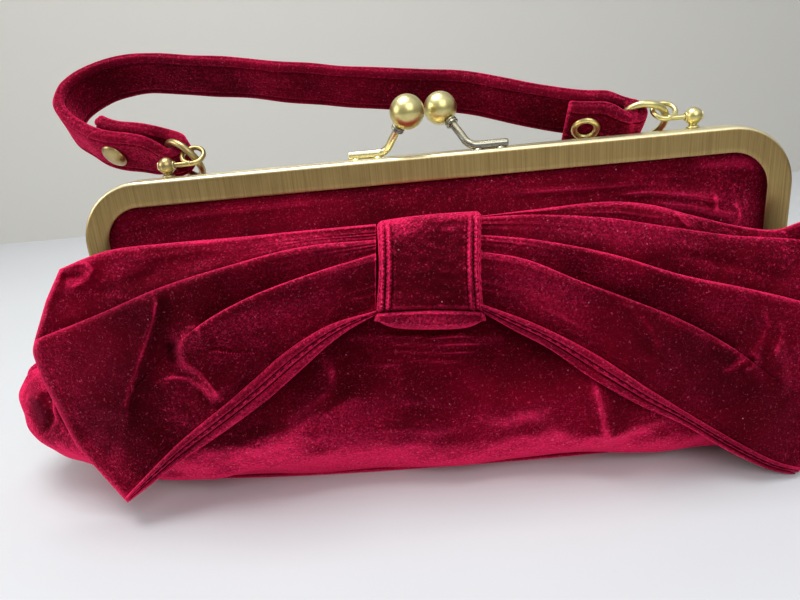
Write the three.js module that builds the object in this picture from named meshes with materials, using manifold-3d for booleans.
// Clutch purse: velvet pouch with a front bow, a two-half channel frame with a
// kiss-lock clasp, and a wrist strap hung from two drilled posts.
// Millimetres. Origin on the table under the middle of the frame.
// +X right seen from the front, +Y to the back, +Z up. The front faces -Y.
import * as THREE from 'three';
import Module from 'manifold-3d';
import { mergeVertices } from 'three/addons/utils/BufferGeometryUtils.js';

const { lerp, smoothstep } = THREE.MathUtils;
const wasm = await Module();
wasm.setup();
const group = new THREE.Group();

// ---- driving dimensions -------------------------------------------------
const FRAME_HALF_W = 136; // half the outer width of the frame
const FRAME_TOP = 121.6; // height of the frame's top edge
const FRAME_FACE = 9.6; // width of the channel's face
const FRAME_R = 24; // outer corner radius
const FRAME_DEPTH = 5.4; // depth of one half
const FRAME_GAP = 0.4; // gap between the two halves
const CHANNEL_Y = (FRAME_GAP + FRAME_DEPTH) / 2; // middle of one half's depth
const CORNER_X = FRAME_HALF_W - FRAME_R;
const CORNER_Z = FRAME_TOP - FRAME_R;
const SEAT_Z = FRAME_TOP + 0.15; // underside of the fittings on top of the frame
const HINGE_Z = 62; // hinge axis height

const POST_X = 101; // handle posts on the rear half
const POST_Z = 126; // height of the post's ball and bore
const EYE_X = 91.2; // swivel eyes
const EYE_R = 4.2;
const EYE_WIRE_R = 1.0;
const RING_R = 8.5; // strap rings
const RING_WIRE_R = 1.5;
const RING_TILT = { right: 8, left: 35 }; // degrees
const STRAP_LEAN = 40; // angle of the strap's plane above the horizontal, degrees
const STRAP_W = 20;
const STRAP_T = 5.2;
const STRAP_S = -5.2; // centre of the strap's width from the post axis

// ---- materials ----------------------------------------------------------
const MATERIALS = {
  velvet: { color: 0x8a0828, roughness: 0.9, metalness: 0.0 },
  brass: { color: 0xa8925a, roughness: 0.35, metalness: 1.0 },
  steel: { color: 0x6d6d68, roughness: 0.35, metalness: 1.0 },
  lining: { color: 0x5a0a22, roughness: 0.8, metalness: 0.0 },
  board: { color: 0xa89878, roughness: 0.9, metalness: 0.0 },
  interlining: { color: 0xe6e0d6, roughness: 0.9, metalness: 0.0 },
  cord: { color: 0xc9b48c, roughness: 0.9, metalness: 0.0 },
};

function add(name, geometry, material) {
  geometry.computeVertexNormals();
  const mesh = new THREE.Mesh(geometry, new THREE.MeshStandardMaterial(MATERIALS[material]));
  mesh.name = name;
  group.add(mesh);
}

// ---- geometry helpers ---------------------------------------------------
const vec = (x, y, z) => new THREE.Vector3(x, y, z);
const X_AXIS = vec(1, 0, 0);

// positions only, with coincident vertices joined
function weld(geometry) {
  geometry.deleteAttribute('normal');
  geometry.deleteAttribute('uv');
  return mergeVertices(geometry, 1e-5);
}

// turns an indexed solid the right way round if its volume comes out negative
function outward(geometry) {
  const position = geometry.attributes.position;
  const indices = Array.from(geometry.index.array);
  let volume = 0;
  for (let t = 0; t < indices.length; t += 3) {
    const [a, b, c] = indices.slice(t, t + 3).map((k) => vec().fromBufferAttribute(position, k));
    volume += a.dot(b.cross(c));
  }
  if (volume < 0) {
    for (let t = 0; t < indices.length; t += 3) {
      [indices[t], indices[t + 1]] = [indices[t + 1], indices[t]];
    }
  }
  geometry.setIndex(indices);
  return geometry;
}

function indexedSolid(positions, indices) {
  const geometry = new THREE.BufferGeometry();
  geometry.setAttribute('position', new THREE.Float32BufferAttribute(positions, 3));
  geometry.setIndex(indices);
  return outward(geometry);
}

function pushQuad(indices, a, b, c, d) {
  indices.push(a, b, c, a, c, d);
}

function toManifold(geometry) {
  const welded = weld(geometry);
  return new wasm.Manifold(new wasm.Mesh({
    numProp: 3,
    vertProperties: new Float32Array(welded.attributes.position.array),
    triVerts: new Uint32Array(welded.index.array),
  }));
}

function fromManifold(manifold) {
  const mesh = manifold.getMesh();
  const positions = new Float32Array(mesh.vertProperties);
  const geometry = new THREE.BufferGeometry();
  geometry.setAttribute('position', new THREE.BufferAttribute(positions, 3));
  geometry.setIndex(new THREE.BufferAttribute(new Uint32Array(mesh.triVerts), 1));
  return geometry;
}

// closed solid between two grids of rows x columns cells;
// pairAt(i, j) gives the grid point on the outer and on the inner face
function gridSolid(rows, columns, pairAt) {
  const outerPoints = [];
  const innerPoints = [];
  for (let i = 0; i <= rows; i++) {
    for (let j = 0; j <= columns; j++) {
      const [outerPoint, innerPoint] = pairAt(i, j);
      outerPoints.push(...outerPoint);
      innerPoints.push(...innerPoint);
    }
  }
  const indices = [];
  const outer = (i, j) => i * (columns + 1) + j;
  const inner = (i, j) => (rows + 1) * (columns + 1) + outer(i, j);
  const quad = (...corners) => pushQuad(indices, ...corners);
  for (let i = 0; i < rows; i++) {
    for (let j = 0; j < columns; j++) {
      quad(outer(i, j), outer(i + 1, j), outer(i + 1, j + 1), outer(i, j + 1));
      quad(inner(i, j), inner(i, j + 1), inner(i + 1, j + 1), inner(i + 1, j));
    }
  }
  const n = columns;
  for (let i = 0; i < rows; i++) {
    quad(outer(i, 0), inner(i, 0), inner(i + 1, 0), outer(i + 1, 0));
    quad(outer(i, n), outer(i + 1, n), inner(i + 1, n), inner(i, n));
  }
  const m = rows;
  for (let j = 0; j < columns; j++) {
    quad(outer(0, j), outer(0, j + 1), inner(0, j + 1), inner(0, j));
    quad(outer(m, j), inner(m, j), inner(m, j + 1), outer(m, j + 1));
  }
  return indexedSolid([...outerPoints, ...innerPoints], indices);
}

const polygon = (points) => new THREE.Shape(points.map(([x, y]) => new THREE.Vector2(x, y)));

function extrude(shape, depth, options = {}) {
  return new THREE.ExtrudeGeometry(shape, { depth, bevelEnabled: false, ...options });
}

// solid turned about Y from [radius, axial] pairs; the profile either starts and
// ends on the axis or closes on itself
function lathe(profile, segments) {
  const points = profile.map(([radius, axial]) => new THREE.Vector2(radius, axial));
  const geometry = weld(new THREE.LatheGeometry(points, segments));
  // drop the zero-area triangles left on the axis
  const indices = geometry.index.array;
  const kept = [];
  for (let t = 0; t < indices.length; t += 3) {
    const [a, b, c] = indices.slice(t, t + 3);
    if (a !== b && b !== c && a !== c) kept.push(a, b, c);
  }
  geometry.setIndex(kept);
  return outward(geometry);
}

function setInBasis(geometry, origin, xAxis, yAxis, zAxis) {
  const matrix = new THREE.Matrix4().makeBasis(xAxis, yAxis, zAxis);
  matrix.setPosition(origin);
  return geometry.applyMatrix4(matrix);
}

// moves the local origin to `origin` and turns local +Y to `axis`
function place(geometry, origin, axis) {
  const y = axis.clone().normalize();
  const reference = Math.abs(y.x) > 0.9 ? vec(0, 1, 0) : X_AXIS;
  const z = vec().crossVectors(reference, y).normalize();
  const x = vec().crossVectors(y, z).normalize();
  return setInBasis(geometry, origin, x, y, z);
}

function cylinderAlongX({ radius, length, x, y, z, segments }) {
  const geometry = new THREE.CylinderGeometry(radius, radius, length, segments);
  geometry.rotateZ(Math.PI / 2);
  geometry.translate(x, y, z);
  return geometry;
}

// torus about `center` in the plane of the unit vectors u and v
function torus({ center, u, v, radius, wire, around, section }) {
  const w = vec().crossVectors(u, v).normalize();
  const positions = [];
  const indices = [];
  const vertex = (i, j) => (i % around) * section + (j % section);
  for (let i = 0; i < around; i++) {
    for (let j = 0; j < section; j++) {
      const a = 2 * Math.PI * i / around;
      const b = 2 * Math.PI * j / section;
      const radial = u.clone().multiplyScalar(Math.cos(a)).addScaledVector(v, Math.sin(a));
      const point = center.clone()
        .addScaledVector(radial, radius + wire * Math.cos(b))
        .addScaledVector(w, wire * Math.sin(b));
      positions.push(point.x, point.y, point.z);
      pushQuad(indices, vertex(i, j), vertex(i + 1, j), vertex(i + 1, j + 1), vertex(i, j + 1));
    }
  }
  return indexedSolid(positions, indices);
}

// straight-line interpolation in [position, value] rows, held constant past the ends
function table(rows) {
  return (at) => {
    if (at <= rows[0][0]) return rows[0][1];
    for (let i = 1; i < rows.length; i++) {
      const [start, startValue] = rows[i - 1];
      const [end, endValue] = rows[i];
      if (at <= end) return startValue + (endValue - startValue) * (at - start) / (end - start);
    }
    return rows[rows.length - 1][1];
  };
}

// ---- pouch shape --------------------------------------------------------
// Rows are [height, value].
const halfLength = table([ // of the lower body
  [0, 147], [4, 152.5], [9, 158], [13, 163.5], [17, 169], [22, 174.5], [28, 179.5], [34, 181],
  [40, 180.5], [47, 175], [51, 163], [55, 142], [57, 132], [58, 130], [60, 129.5],
]);
const halfDepth = table([ // of the lower body
  [0, 24.5], [1.25, 26], [4, 31], [8, 36], [14, 40], [20, 41.5], [30, 41], [40, 38.5],
  [50, 33], [56, 29], [62, 25],
]);
const bulge = table([ // of the upper body beyond its flat depth, at the middle
  [54, 24], [62, 21], [75, 15], [94, 9], [108, 2.6], [111.5, 0], [124, 0],
]);
const upperHalfLength = table([
  [98, 129.5], [108, 127.5], [112, 123.5], [116.5, 117], [118.6, 112],
]);
const ROUNDNESS = 2.5; // superellipse exponent of the lower body in plan
const UPPER_FLAT_DEPTH = 3.95; // of the upper body where it doesn't bulge
const BULGE_HALF_W = 124;
const MIN_DEPTH = 0.25; // keeps the front and rear panels off the y = 0 plane

function superellipse(halfX, halfY, angle) {
  const stretch = (v) => Math.sign(v) * Math.pow(Math.abs(v), 2 / ROUNDNESS);
  return [halfX * stretch(Math.cos(angle)), halfY * stretch(Math.sin(angle))];
}

// 0 in the lower body, 1 in the upper body inside the frame
const upperShare = (z) => smoothstep(z, 53, 66);

function upperDepth(x, z) {
  return UPPER_FLAT_DEPTH + bulge(z) * Math.max(0, 1 - (x / BULGE_HALF_W) ** 2);
}

// [x, depth] of the pouch surface at a plan angle and height, set in by `inset`
function pouchPoint(angle, z, inset) {
  const [lowX, lowDepth] = superellipse(halfLength(z) - inset, halfDepth(z) - inset, angle);
  const upX = upperHalfLength(z) * Math.cos(angle);
  const share = upperShare(z);
  return [lerp(lowX, upX, share), lerp(lowDepth, upperDepth(upX, z) - inset, share)];
}

// distance of the pouch surface from the y = 0 plane at (x, z)
function depthAt(x, z) {
  const reach = Math.min(1, Math.abs(x) / halfLength(z));
  const lowDepth = halfDepth(z) * Math.pow(1 - Math.pow(reach, ROUNDNESS), 1 / ROUNDNESS);
  return lerp(lowDepth, upperDepth(x, z), upperShare(z));
}

// ---- pouch panels -------------------------------------------------------
const LAYERS = {
  velvet: { inset: 0, thickness: 0.9 },
  interlining: { inset: 1.3, thickness: 0.5 },
  lining: { inset: 2.3, thickness: 0.5 },
};

function panel({ inset, thickness }, heights, rear) {
  const segments = 18;
  const endAngle = 0.004; // stops just short of the side seams
  const surfacePoint = (i, j, depthInset) => {
    const angle = endAngle + (Math.PI - 2 * endAngle) * i / segments;
    const [x, rawDepth] = pouchPoint(angle, heights[j], depthInset);
    const depth = Math.abs(rawDepth) < MIN_DEPTH ? MIN_DEPTH : rawDepth;
    return [x, rear ? depth : -depth, heights[j]];
  };
  return gridSolid(segments, heights.length - 1, (i, j) => [
    surfacePoint(i, j, inset),
    surfacePoint(i, j, inset + thickness),
  ]);
}

const LOW_HEIGHTS = [1.3, 4.2, 9, 17, 28, 40, 47, 51];
const FRONT_HEIGHTS = [...LOW_HEIGHTS, 55, 58, 66, 80, 98, 112];
const HIGH_HEIGHTS = [80, 98, 112];
const PANELS = [ // name, layer, on the rear, station heights
  ['front_panel', 'velvet', false, [...FRONT_HEIGHTS, 118.4]],
  ['front_interlining', 'interlining', false, [...FRONT_HEIGHTS, 116.5]],
  ['front_lining', 'lining', false, [...FRONT_HEIGHTS.slice(1), 117.5]],
  ['rear_panel_lower', 'velvet', true, [...LOW_HEIGHTS, 55]],
  ['rear_interlining_lower', 'interlining', true, [...LOW_HEIGHTS, 54.5]],
  ['rear_lining_lower', 'lining', true, [...LOW_HEIGHTS.slice(1), 54.5]],
  ['rear_panel_upper', 'velvet', true, [67, ...HIGH_HEIGHTS, 118.4]],
  ['rear_interlining_upper', 'interlining', true, [67.5, ...HIGH_HEIGHTS, 116.5]],
  ['rear_lining_upper', 'lining', true, [67.5, ...HIGH_HEIGHTS, 117.5]],
];
for (const [name, layer, rear, heights] of PANELS) {
  add(name, panel(LAYERS[layer], heights, rear), layer);
}

// ---- base: flat plates with the pouch's plan ----------------------------
function plate(halfX, halfY, bottom, top) {
  const segments = 40;
  const points = [];
  for (let i = 0; i < segments; i++) {
    points.push(superellipse(halfX, halfY, 2 * Math.PI * i / segments));
  }
  const outline = polygon(points);
  outline.closePath();
  return weld(extrude(outline, top - bottom).translate(0, 0, bottom));
}

const BASE_PLATES = [ // name, material, half length, half depth, bottom, top
  ['base_panel', 'velvet', 148, 24.5, 0, 0.95],
  ['base_board', 'board', 144, 21.5, 1.3, 3.3],
  ['base_lining', 'lining', 144, 21.5, 3.55, 3.95],
];
for (const [name, material, ...size] of BASE_PLATES) add(name, plate(...size), material);

// ---- frame --------------------------------------------------------------
const CHANNEL_WALL = 0.9;
const LEG_END = 69; // height at which the channels stop
const EDGE_BEVEL = 1.0;
const EAR_R = 5;
const FRONT_EAR_X = [134.7, 136.0]; // near and far faces of each ear plate
const REAR_EAR_X = [133.1, 134.4];
const RIVET_HOLE_R = 1.75;
// [y, z] of the front half's ear above its rounded end
const EAR_FRONT_EDGE = [[-5.3, 73], [-5.3, 68]];
const EAR_BACK_EDGE = [[4.6, 63.8], [3.2, 65.9], [0.6, 66.9], [-0.5, 68.4], [-0.5, 73]];

// upside-down U in (x, z) between two insets from the frame's outer edge
function channelOutline(outerInset, innerInset, legEnd) {
  const outerX = FRAME_HALF_W - outerInset;
  const outerR = FRAME_R - outerInset;
  const innerX = FRAME_HALF_W - innerInset;
  const innerR = FRAME_R - innerInset;
  const shape = new THREE.Shape();
  shape.moveTo(outerX, legEnd);
  shape.lineTo(outerX, CORNER_Z);
  shape.absarc(CORNER_X, CORNER_Z, outerR, 0, Math.PI / 2, false);
  shape.lineTo(-CORNER_X, FRAME_TOP - outerInset);
  shape.absarc(-CORNER_X, CORNER_Z, outerR, Math.PI / 2, Math.PI, false);
  shape.lineTo(-outerX, legEnd);
  shape.lineTo(-innerX, legEnd);
  shape.lineTo(-innerX, CORNER_Z);
  shape.absarc(-CORNER_X, CORNER_Z, innerR, Math.PI, Math.PI / 2, true);
  shape.lineTo(CORNER_X, FRAME_TOP - innerInset);
  shape.absarc(CORNER_X, CORNER_Z, innerR, Math.PI / 2, 0, true);
  shape.lineTo(innerX, legEnd);
  shape.closePath();
  return shape;
}

// stands an (x, z) outline up and sweeps it from startY towards the front
function extrudeForward(shape, startY, depth, options) {
  const standUp = new THREE.Matrix4().set(
    1, 0, 0, 0,
    0, 0, -1, 0,
    0, 1, 0, 0,
    0, 0, 0, 1,
  );
  const geometry = extrude(shape, depth, { curveSegments: 6, ...options });
  return geometry.applyMatrix4(standUp).translate(0, startY, 0);
}

// ear plate of the front half, from x = start to x = end
function earPlate(start, end) {
  const roundedEnd = [];
  for (let i = 0; i <= 10; i++) {
    const angle = Math.PI * (1.0 + i / 10);
    roundedEnd.push([EAR_R * Math.cos(angle), HINGE_Z + EAR_R * Math.sin(angle)]);
  }
  const outline = polygon([...EAR_FRONT_EDGE, ...roundedEnd, ...EAR_BACK_EDGE]);
  // the outline is in (y, z) and is swept along X
  const alongX = new THREE.Matrix4().set(
    0, 0, 1, start,
    1, 0, 0, 0,
    0, 1, 0, 0,
    0, 0, 0, 1,
  );
  return extrude(outline, end - start).applyMatrix4(alongX);
}

// built as the front half; the rear half is its mirror image with its own ear position
function frameHalf([earNear, earFar], rear) {
  const bevel = EDGE_BEVEL;
  const body = extrudeForward(
    channelOutline(bevel, FRAME_FACE - bevel, LEG_END + bevel),
    -FRAME_GAP / 2 - bevel,
    FRAME_DEPTH - 2 * bevel,
    { bevelEnabled: true, bevelThickness: bevel, bevelSize: bevel, bevelSegments: 2 },
  );
  // overshoots the inner edge and the leg ends, so the channel is open there
  const cavity = extrudeForward(
    channelOutline(CHANNEL_WALL, FRAME_FACE + 2, LEG_END - 2),
    -FRAME_GAP / 2 - CHANNEL_WALL,
    FRAME_DEPTH - 2 * CHANNEL_WALL,
  );
  let half = toManifold(body).subtract(toManifold(cavity));
  for (const side of [-1, 1]) {
    const [start, end] = side > 0 ? [earNear, earFar] : [-earFar, -earNear];
    const hole = cylinderAlongX({
      radius: RIVET_HOLE_R, length: 10, x: side * 135, y: 0, z: HINGE_Z, segments: 16,
    });
    half = half.add(toManifold(earPlate(start, end))).subtract(toManifold(hole));
  }
  return fromManifold(rear ? half.mirror([0, 1, 0]) : half);
}
add('front_frame_channel', frameHalf(FRONT_EAR_X, false), 'brass');
add('rear_frame_channel', frameHalf(REAR_EAR_X, true), 'brass');

// paper cord that packs the velvet into each channel
function cord(y) {
  const inset = 2.1; // of its centreline from the frame's outer edge
  const radius = 0.8;
  const sides = 6;
  const legX = FRAME_HALF_W - inset;
  const bendR = FRAME_R - inset;
  const rightHalf = [[legX, 78], [legX, 86]];
  for (let i = 0; i <= 6; i++) {
    const angle = Math.PI / 12 * i;
    rightHalf.push([CORNER_X + bendR * Math.cos(angle), CORNER_Z + bendR * Math.sin(angle)]);
  }
  const path = [...rightHalf, ...rightHalf.slice().reverse().map(([x, z]) => [-x, z])];
  const last = path.length - 1;
  const positions = [];
  const indices = [];
  path.forEach(([x, z], i) => {
    const before = path[Math.max(0, i - 1)];
    const after = path[Math.min(last, i + 1)];
    const dx = after[0] - before[0];
    const dz = after[1] - before[1];
    const length = Math.hypot(dx, dz);
    for (let k = 0; k < sides; k++) {
      const angle = 2 * Math.PI * k / sides;
      const across = radius * Math.cos(angle);
      positions.push(
        x - across * dz / length,
        y + radius * Math.sin(angle),
        z + across * dx / length,
      );
      if (i === 0) continue;
      const next = (k + 1) % sides;
      const previousRing = (i - 1) * sides;
      const ring = i * sides;
      pushQuad(indices, previousRing + k, previousRing + next, ring + next, ring + k);
    }
  });
  const endRing = last * sides;
  for (let k = 1; k < sides - 1; k++) {
    indices.push(0, k + 1, k);
    indices.push(endRing, endRing + k, endRing + k + 1);
  }
  return indexedSolid(positions, indices);
}
add('front_frame_cord', cord(-CHANNEL_Y), 'cord');
add('rear_frame_cord', cord(CHANNEL_Y), 'cord');

// hinge rivets; [radius, distance from the middle of the purse]
const RIVET_R = 1.5;
const RIVET_HEAD_R = 3;
const HINGE_RIVET = [
  [0, 131.4], [2.2, 131.4], [RIVET_HEAD_R, 132.0], [RIVET_HEAD_R, 132.8], [RIVET_R, 132.8],
  [RIVET_R, 136.3], [RIVET_HEAD_R, 136.3], [RIVET_HEAD_R, 136.8], [2.2, 137.5], [0, 137.5],
];
for (const [name, side] of [['right', 1], ['left', -1]]) {
  const rivet = place(lathe(HINGE_RIVET, 18), vec(0, 0, HINGE_Z), vec(side, 0, 0));
  add(`hinge_rivet_${name}`, rivet, 'brass');
}

// ---- kiss-lock clasp ----------------------------------------------------
const BALL_R = 6.3;
const BALL_X = 6.4;
const BALL_LEAN = 6.8; // how far each ball leans past the joint line
const BALL_Z = 137.5;
const ARM_R = 1.5;
const ARM_FOOT_X = [30.3, 25, 19]; // straight foot along the frame's top
const ARM_BEND_X = 16;
const COLLAR_SETBACK = 2.6; // start of the collar from the ball's surface
const COLLAR = [[1.8, 0], [2.5, 0.35], [2.5, 1.5], [1.8, 1.95], [1.8, 0]]; // [radius, axial]

function claspArm(side, bend, direction, tip) {
  const path = new THREE.CatmullRomCurve3([
    ...ARM_FOOT_X.map((x) => vec(side * x, bend.y, bend.z)),
    bend.clone().add(vec(side * 0.8, 0, 0.35)),
    bend.clone().addScaledVector(direction, 2.4),
    bend.clone().lerp(tip, 0.5),
    tip,
  ], false, 'centripetal');
  const section = new THREE.Shape();
  section.absarc(0, 0, ARM_R, 0, 2 * Math.PI, false);
  return weld(new THREE.ExtrudeGeometry(section, {
    steps: 18, bevelEnabled: false, extrudePath: path, curveSegments: 5,
  }));
}

function claspBall(center) {
  const ball = weld(new THREE.SphereGeometry(BALL_R, 20, 12));
  ball.rotateX(Math.PI / 2);
  ball.translate(center.x, center.y, center.z);
  return outward(ball);
}

// the front half's arm stands on the right, the rear half's on the left
for (const [name, side, armMaterial] of [['front', 1, 'steel'], ['rear', -1, 'brass']]) {
  const ball = vec(side * BALL_X, side * BALL_LEAN, BALL_Z);
  const bend = vec(side * ARM_BEND_X, -side * CHANNEL_Y, SEAT_Z + ARM_R);
  const direction = ball.clone().sub(bend).normalize();
  const tip = ball.clone().addScaledVector(direction, -(BALL_R + 0.25));
  const collarStart = ball.clone().addScaledVector(direction, -(BALL_R + COLLAR_SETBACK));
  add(`${name}_clasp_arm`, claspArm(side, bend, direction, tip), armMaterial);
  add(`${name}_clasp_collar`, place(lathe(COLLAR, 16), collarStart, direction), 'steel');
  add(`${name}_clasp_ball`, claspBall(ball), 'brass');
}

// ---- handle hardware ----------------------------------------------------
// The strap's plane holds X and OUT through the posts' balls; ACROSS is normal to it.
const LEAN = STRAP_LEAN * Math.PI / 180;
const OUT = vec(0, Math.cos(LEAN), Math.sin(LEAN));
const ACROSS = vec(0, -Math.sin(LEAN), Math.cos(LEAN));
function strapFrame(x, out, across) {
  return vec(x, CHANNEL_Y, POST_Z).addScaledVector(OUT, out).addScaledVector(ACROSS, across);
}
const inPlane = ([x, out]) => X_AXIS.clone().multiplyScalar(x).addScaledVector(OUT, out);

const POST_BALL_R = 3.25;
const POST_BORE_R = 1.3;
function handlePost(side) {
  const ballZ = POST_Z - SEAT_Z;
  const profile = [[0, 0], [2.3, 0], [2.3, 0.4], [1.9, 0.8]]; // foot
  for (let i = 3; i < 12; i++) {
    const angle = -Math.PI / 2 + Math.PI * i / 12;
    profile.push([POST_BALL_R * Math.cos(angle), ballZ + POST_BALL_R * Math.sin(angle)]);
  }
  profile.push([0, ballZ + POST_BALL_R]);
  const post = place(lathe(profile, 16), vec(side * POST_X, CHANNEL_Y, SEAT_Z), vec(0, 0, 1));
  const bore = cylinderAlongX({
    radius: POST_BORE_R, length: 10, x: side * POST_X, y: CHANNEL_Y, z: POST_Z, segments: 16,
  });
  return fromManifold(toManifold(post).subtract(toManifold(bore)));
}

// a shank along X that turns in the post's bore, ending in a closed eye
function swivelEye(side) {
  const shankStart = EYE_X - 0.4;
  const shankEnd = 103.6;
  const eye = torus({
    center: strapFrame(side * EYE_X, EYE_R, 0),
    u: X_AXIS, v: OUT, radius: EYE_R, wire: EYE_WIRE_R, around: 20, section: 8,
  });
  const shank = cylinderAlongX({
    radius: EYE_WIRE_R, length: shankEnd - shankStart,
    x: side * (shankStart + shankEnd) / 2, y: CHANNEL_Y, z: POST_Z, segments: 8,
  });
  return fromManifold(toManifold(eye).add(toManifold(shank)));
}

for (const [name, side] of [['right', 1], ['left', -1]]) {
  add(`handle_post_${name}`, handlePost(side), 'brass');
}
for (const [name, side] of [['right', 1], ['left', -1]]) {
  add(`swivel_eye_${name}`, swivelEye(side), 'brass');
}

// Strap rings, each threaded through its eye. `away` is the (x, out) direction from
// the eye to the ring's centre; both rings lie to the left of their eyes.
const RING_REACH = Math.sqrt(RING_R ** 2 - STRAP_S ** 2);
function ringLayout(side, tilt) {
  const angle = tilt * Math.PI / 180;
  const away = [-Math.cos(angle), Math.sin(angle)];
  const center = [side * EYE_X + RING_REACH * away[0], EYE_R + RING_REACH * away[1]];
  return { away, center };
}
const RINGS = {
  right: ringLayout(1, RING_TILT.right),
  left: ringLayout(-1, RING_TILT.left),
};
function strapRing({ away, center }, wire, section) {
  return torus({
    center: strapFrame(...center, STRAP_S),
    u: inPlane(away), v: ACROSS, radius: RING_R, wire, around: 22, section,
  });
}
for (const name of ['right', 'left']) {
  add(`strap_ring_${name}`, strapRing(RINGS[name], RING_WIRE_R, 8), 'brass');
}

// ---- strap --------------------------------------------------------------
// One folded velvet strip: a tail, a fold round the left ring, the loop, a fold round
// the right ring and a second tail. Drawn in (x, out) and swept along its width.
const HALF_T = STRAP_T / 2;
const FOLD_INNER_R = 1.8;
const FOLD_MID_R = FOLD_INNER_R + HALF_T;
const FOLD_OUTER_R = FOLD_MID_R + HALF_T;
const FOLD_SETBACK = 2.7; // fold centre inside the ring's centreline
const TAIL_OFFSET = STRAP_T + 0.3; // between the middles of the strap and a tail
const TAIL_LENGTH = { left: 36, right: 23 };
const STATIONS = 54;

// a point moved by `distance` along a direction
const shift = (point, direction, distance) => [
  point[0] + distance * direction[0],
  point[1] + distance * direction[1],
];
// normal towards the inside of the loop for a heading along it
const innerNormal = ([x, out]) => [out, -x];

function foldAt({ away, center }) {
  return { away, center: shift(center, away, RING_R - FOLD_SETBACK) };
}
const leftFold = foldAt(RINGS.left);
const rightFold = foldAt(RINGS.right);
const startHeading = leftFold.away;
const endHeading = rightFold.away.map((v) => -v);
const loopStart = shift(leftFold.center, innerNormal(startHeading), -FOLD_MID_R);
const loopEnd = shift(rightFold.center, innerNormal(endHeading), -FOLD_MID_R);

// middle of the strap's thickness, [x, out], from the left ring round to the right
const LOOP = [
  loopStart, shift(loopStart, startHeading, 5),
  [-117, 14.2], [-126.1, 16.8], [-133.6, 20.4], [-140.3, 25.6], [-147.2, 32.2],
  [-151.9, 40], [-152.3, 48.6], [-149.1, 54.8], [-143.5, 59.7], [-137.5, 63],
  [-127.3, 65.2], [-116.8, 64.4], [-97.8, 60.2], [-79.2, 56.3], [-60.8, 50.9],
  [-43, 46.2], [-25.5, 41.3], [0, 35.6], [16.6, 32.3], [32.4, 25.8], [47.2, 18.1],
  [61.6, 13],
  shift(loopEnd, endHeading, -5), loopEnd,
];
const loopPoints = LOOP.map(([x, out]) => vec(x, out, 0));
const loopCurve = new THREE.CatmullRomCurve3(loopPoints, false, 'centripetal');
const loopLength = loopCurve.getLength();

const stations = [];
for (let i = 0; i <= STATIONS; i++) {
  const point = loopCurve.getPointAt(i / STATIONS);
  const tangent = loopCurve.getTangentAt(i / STATIONS);
  let heading = [tangent.x, tangent.y];
  if (i === 0) heading = startHeading;
  if (i === STATIONS) heading = endHeading;
  stations.push({
    point: [point.x, point.y],
    normal: innerNormal(heading),
    fromLeft: loopLength * i / STATIONS,
  });
}

// offset of a tail's middle: the fold's full width at the ring, then close to the strap
function tailOffset(distance) {
  return TAIL_OFFSET + (2 * FOLD_MID_R - TAIL_OFFSET) * (1 - smoothstep(distance, 1, 12));
}
const leftTail = (i) => tailOffset(stations[i].fromLeft);
const rightTail = (i) => tailOffset(loopLength - stations[i].fromLeft);

// points from one station to another, in either order, offset to the inside by offsetAt(i)
function strapEdge(from, to, offsetAt) {
  const step = Math.sign(to - from);
  const points = [];
  for (let i = from; i !== to + step; i += step) {
    points.push(shift(stations[i].point, stations[i].normal, offsetAt(i)));
  }
  return points;
}

// points between the ends of a fold's arc; the angle runs from the normal of `away`
// towards the apex, which points back at the eye
function foldArc({ away, center }, radius, from, to, segments) {
  const normal = innerNormal(away);
  const points = [];
  for (let i = 1; i < segments; i++) {
    const angle = from + (to - from) * i / segments;
    const cos = Math.cos(angle);
    const sin = Math.sin(angle);
    points.push([
      center[0] + radius * (cos * normal[0] - sin * away[0]),
      center[1] + radius * (cos * normal[1] - sin * away[1]),
    ]);
  }
  return points;
}

function strapOutline() {
  const leftEnd = stations.findIndex((s) => s.fromLeft > TAIL_LENGTH.left);
  const rightEnd = stations.findIndex((s) => s.fromLeft > loopLength - TAIL_LENGTH.right);
  return polygon([
    ...strapEdge(leftEnd, 0, (i) => leftTail(i) + HALF_T),
    ...foldArc(leftFold, FOLD_OUTER_R, 0, Math.PI, 10),
    ...strapEdge(0, STATIONS, () => -HALF_T),
    ...foldArc(rightFold, FOLD_OUTER_R, 0, Math.PI, 10),
    ...strapEdge(STATIONS, rightEnd, (i) => rightTail(i) + HALF_T),
    ...strapEdge(rightEnd, STATIONS, (i) => rightTail(i) - HALF_T),
    ...foldArc(rightFold, FOLD_INNER_R, Math.PI, 0, 6),
    ...strapEdge(STATIONS, 0, () => HALF_T),
    ...foldArc(leftFold, FOLD_INNER_R, Math.PI, 0, 6),
    ...strapEdge(0, leftEnd, (i) => leftTail(i) - HALF_T),
  ]);
}

function strapBlank() {
  const geometry = extrude(strapOutline(), STRAP_W);
  geometry.translate(0, 0, STRAP_S - STRAP_W / 2);
  setInBasis(geometry, strapFrame(0, 0, 0), X_AXIS, OUT, ACROSS);
  return toManifold(outward(weld(geometry)));
}

// [x, half width] along each end, which narrows to pass through its ring
const TAPERS = [
  [[-112, 10], [-103, 7], [-88, 6.5]],
  [[70, 10], [79, 7], [92, 6.5]],
];
// removes the material outside one edge of a taper
function taperCutter(taper, edge) {
  const clear = 13; // beyond the strap's half width
  const points = [...taper, [taper[2][0], clear], [taper[0][0], clear]];
  const outline = polygon(points.map(([x, halfWidth]) => [x, STRAP_S + edge * halfWidth]));
  const geometry = extrude(outline, 46);
  setInBasis(geometry, strapFrame(0, 34, 0), X_AXIS, ACROSS, OUT.clone().negate());
  return toManifold(outward(weld(geometry)));
}

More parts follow.
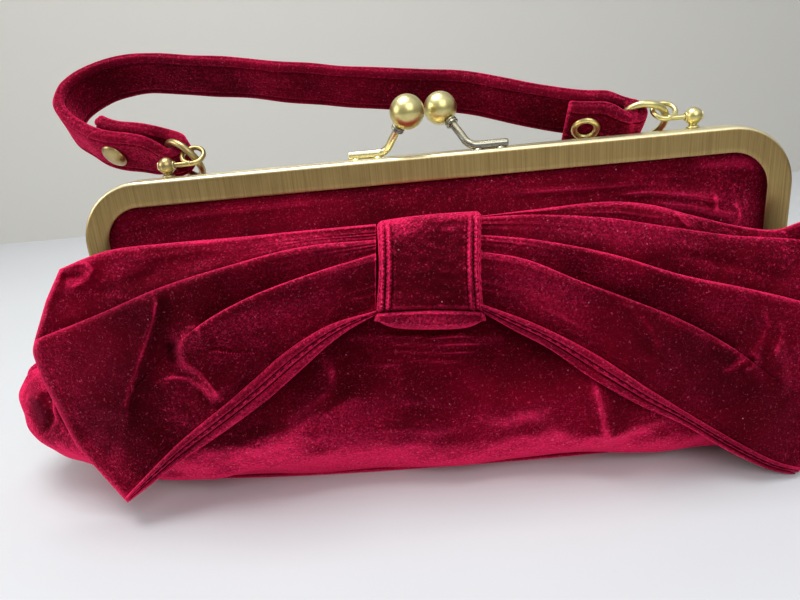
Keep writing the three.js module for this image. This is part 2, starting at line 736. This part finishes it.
// rivets through strap and tail; profiles are [radius, distance to the loop's inside]
const STRAP_RIVET_HOLE_R = 1.8;
const CAP_FACE = -HALF_T - 0.4;
const SOCKET_FACE = TAIL_OFFSET + HALF_T + 0.45;
const RIVET_CAP = [
  [0, CAP_FACE - 2.0], [2.2, CAP_FACE - 1.8], [4.2, CAP_FACE - 1.1], [5.2, CAP_FACE - 0.35],
  [5.2, CAP_FACE], [1.4, CAP_FACE], [1.4, SOCKET_FACE + 0.9], [0, SOCKET_FACE + 0.9],
];
const RIVET_SOCKET = [
  [1.7, 0], [5.2, 0], [5.4, 0.5], [4.7, 1.25], [3.6, 1.1], [2.6, 0.4], [1.7, 0.4], [1.7, 0],
].map(([radius, axial]) => [radius, SOCKET_FACE + axial]);
const STRAP_RIVETS = [ // name, distance along the loop
  ['left', 24],
  ['right', loopLength - 15.5],
];

function rivetPlace(distance) {
  const point = loopCurve.getPointAt(distance / loopLength);
  const tangent = loopCurve.getTangentAt(distance / loopLength);
  return {
    origin: strapFrame(point.x, point.y, STRAP_S),
    axis: inPlane(innerNormal([tangent.x, tangent.y])).normalize(),
  };
}

let strap = strapBlank();
for (const name of ['left', 'right']) {
  const clearance = 0.35;
  strap = strap.subtract(toManifold(strapRing(RINGS[name], RING_WIRE_R + clearance, 6)));
}
for (const taper of TAPERS) {
  for (const edge of [1, -1]) strap = strap.subtract(taperCutter(taper, edge));
}
for (const [name, distance] of STRAP_RIVETS) {
  const { origin, axis } = rivetPlace(distance);
  const hole = new THREE.CylinderGeometry(STRAP_RIVET_HOLE_R, STRAP_RIVET_HOLE_R, 20, 12);
  place(hole, origin.clone().addScaledVector(axis, 2.2), axis);
  strap = strap.subtract(toManifold(hole));
  add(`strap_rivet_cap_${name}`, place(lathe(RIVET_CAP, 20), origin, axis), 'brass');
  add(`strap_rivet_socket_${name}`, place(lathe(RIVET_SOCKET, 20), origin, axis), 'brass');
}
add('strap', fromManifold(strap), 'velvet');

// ---- bow ----------------------------------------------------------------
const BOW_GAP = 1.2; // between the pouch and the back of the bow
const KNOT_HALF = 18; // half width and half height of the knot
const KNOT_Z = 84;
const WING_START_X = 18.4;
// rows are [share of the wing's length from the knot, height]
const wingBottom = table([[0, 68.5], [0.16, 66], [0.32, 57.5], [0.55, 38], [0.8, 19], [1, 5]]);
const wingTop = table([[0, 100.5], [0.3, 103], [0.65, 102], [1, 97]]);

function wing(side) {
  const rows = 12;
  const columns = 8;
  return gridSolid(rows, columns, (i, j) => {
    const u = i / rows; // from the knot to the tip
    const v = j / columns; // from the bottom edge to the top
    const tipCurve = 22 * u * u * Math.sin(Math.PI * Math.min(1, v * 1.05));
    const x = WING_START_X + 112 * u + tipCurve + 5 * v * u;
    const z = lerp(wingBottom(u), wingTop(u), v);
    // clears the pouch nearby, and stands off it towards the tip
    const depth = BOW_GAP + Math.max(
      depthAt(x, z), depthAt(x, z - 4), depthAt(x - 5, z), 21 * smoothstep(u, 0.25, 0.8),
    );
    const pleatStrength = 0.9 * (0.35 + 0.65 * smoothstep(u, 0, 0.35)) * (1 - 0.55 * u);
    const pleat = 1 + pleatStrength * Math.cos(v * Math.PI * 6);
    const thickness = (8.5 - 4.5 * smoothstep(u, 0, 0.6)) * (0.62 + 0.38 * pleat);
    return [[side * x, -(depth + thickness), z], [side * x, -depth, z]];
  });
}

function knot() {
  const rows = 10;
  const columns = 8;
  const falloff = (v) => Math.pow(1 - Math.pow(Math.abs(v), 8), 0.5); // 0 at the edges
  return gridSolid(rows, columns, (i, j) => {
    const acrossX = -1 + 2 * i / rows;
    const acrossZ = -1 + 2 * j / columns;
    const x = KNOT_HALF * acrossX;
    const z = KNOT_Z + KNOT_HALF * acrossZ;
    const depth = Math.max(depthAt(x, z), depthAt(x, z - 2));
    const swell = 13.5 * falloff(acrossX) * falloff(acrossZ);
    return [[x, -(depth + 3.0 + swell), z], [x, -(depth + BOW_GAP), z]];
  });
}
add('bow_right_wing', wing(1), 'velvet');
add('bow_left_wing', wing(-1), 'velvet');
add('bow_knot', knot(), 'velvet');

export default group;
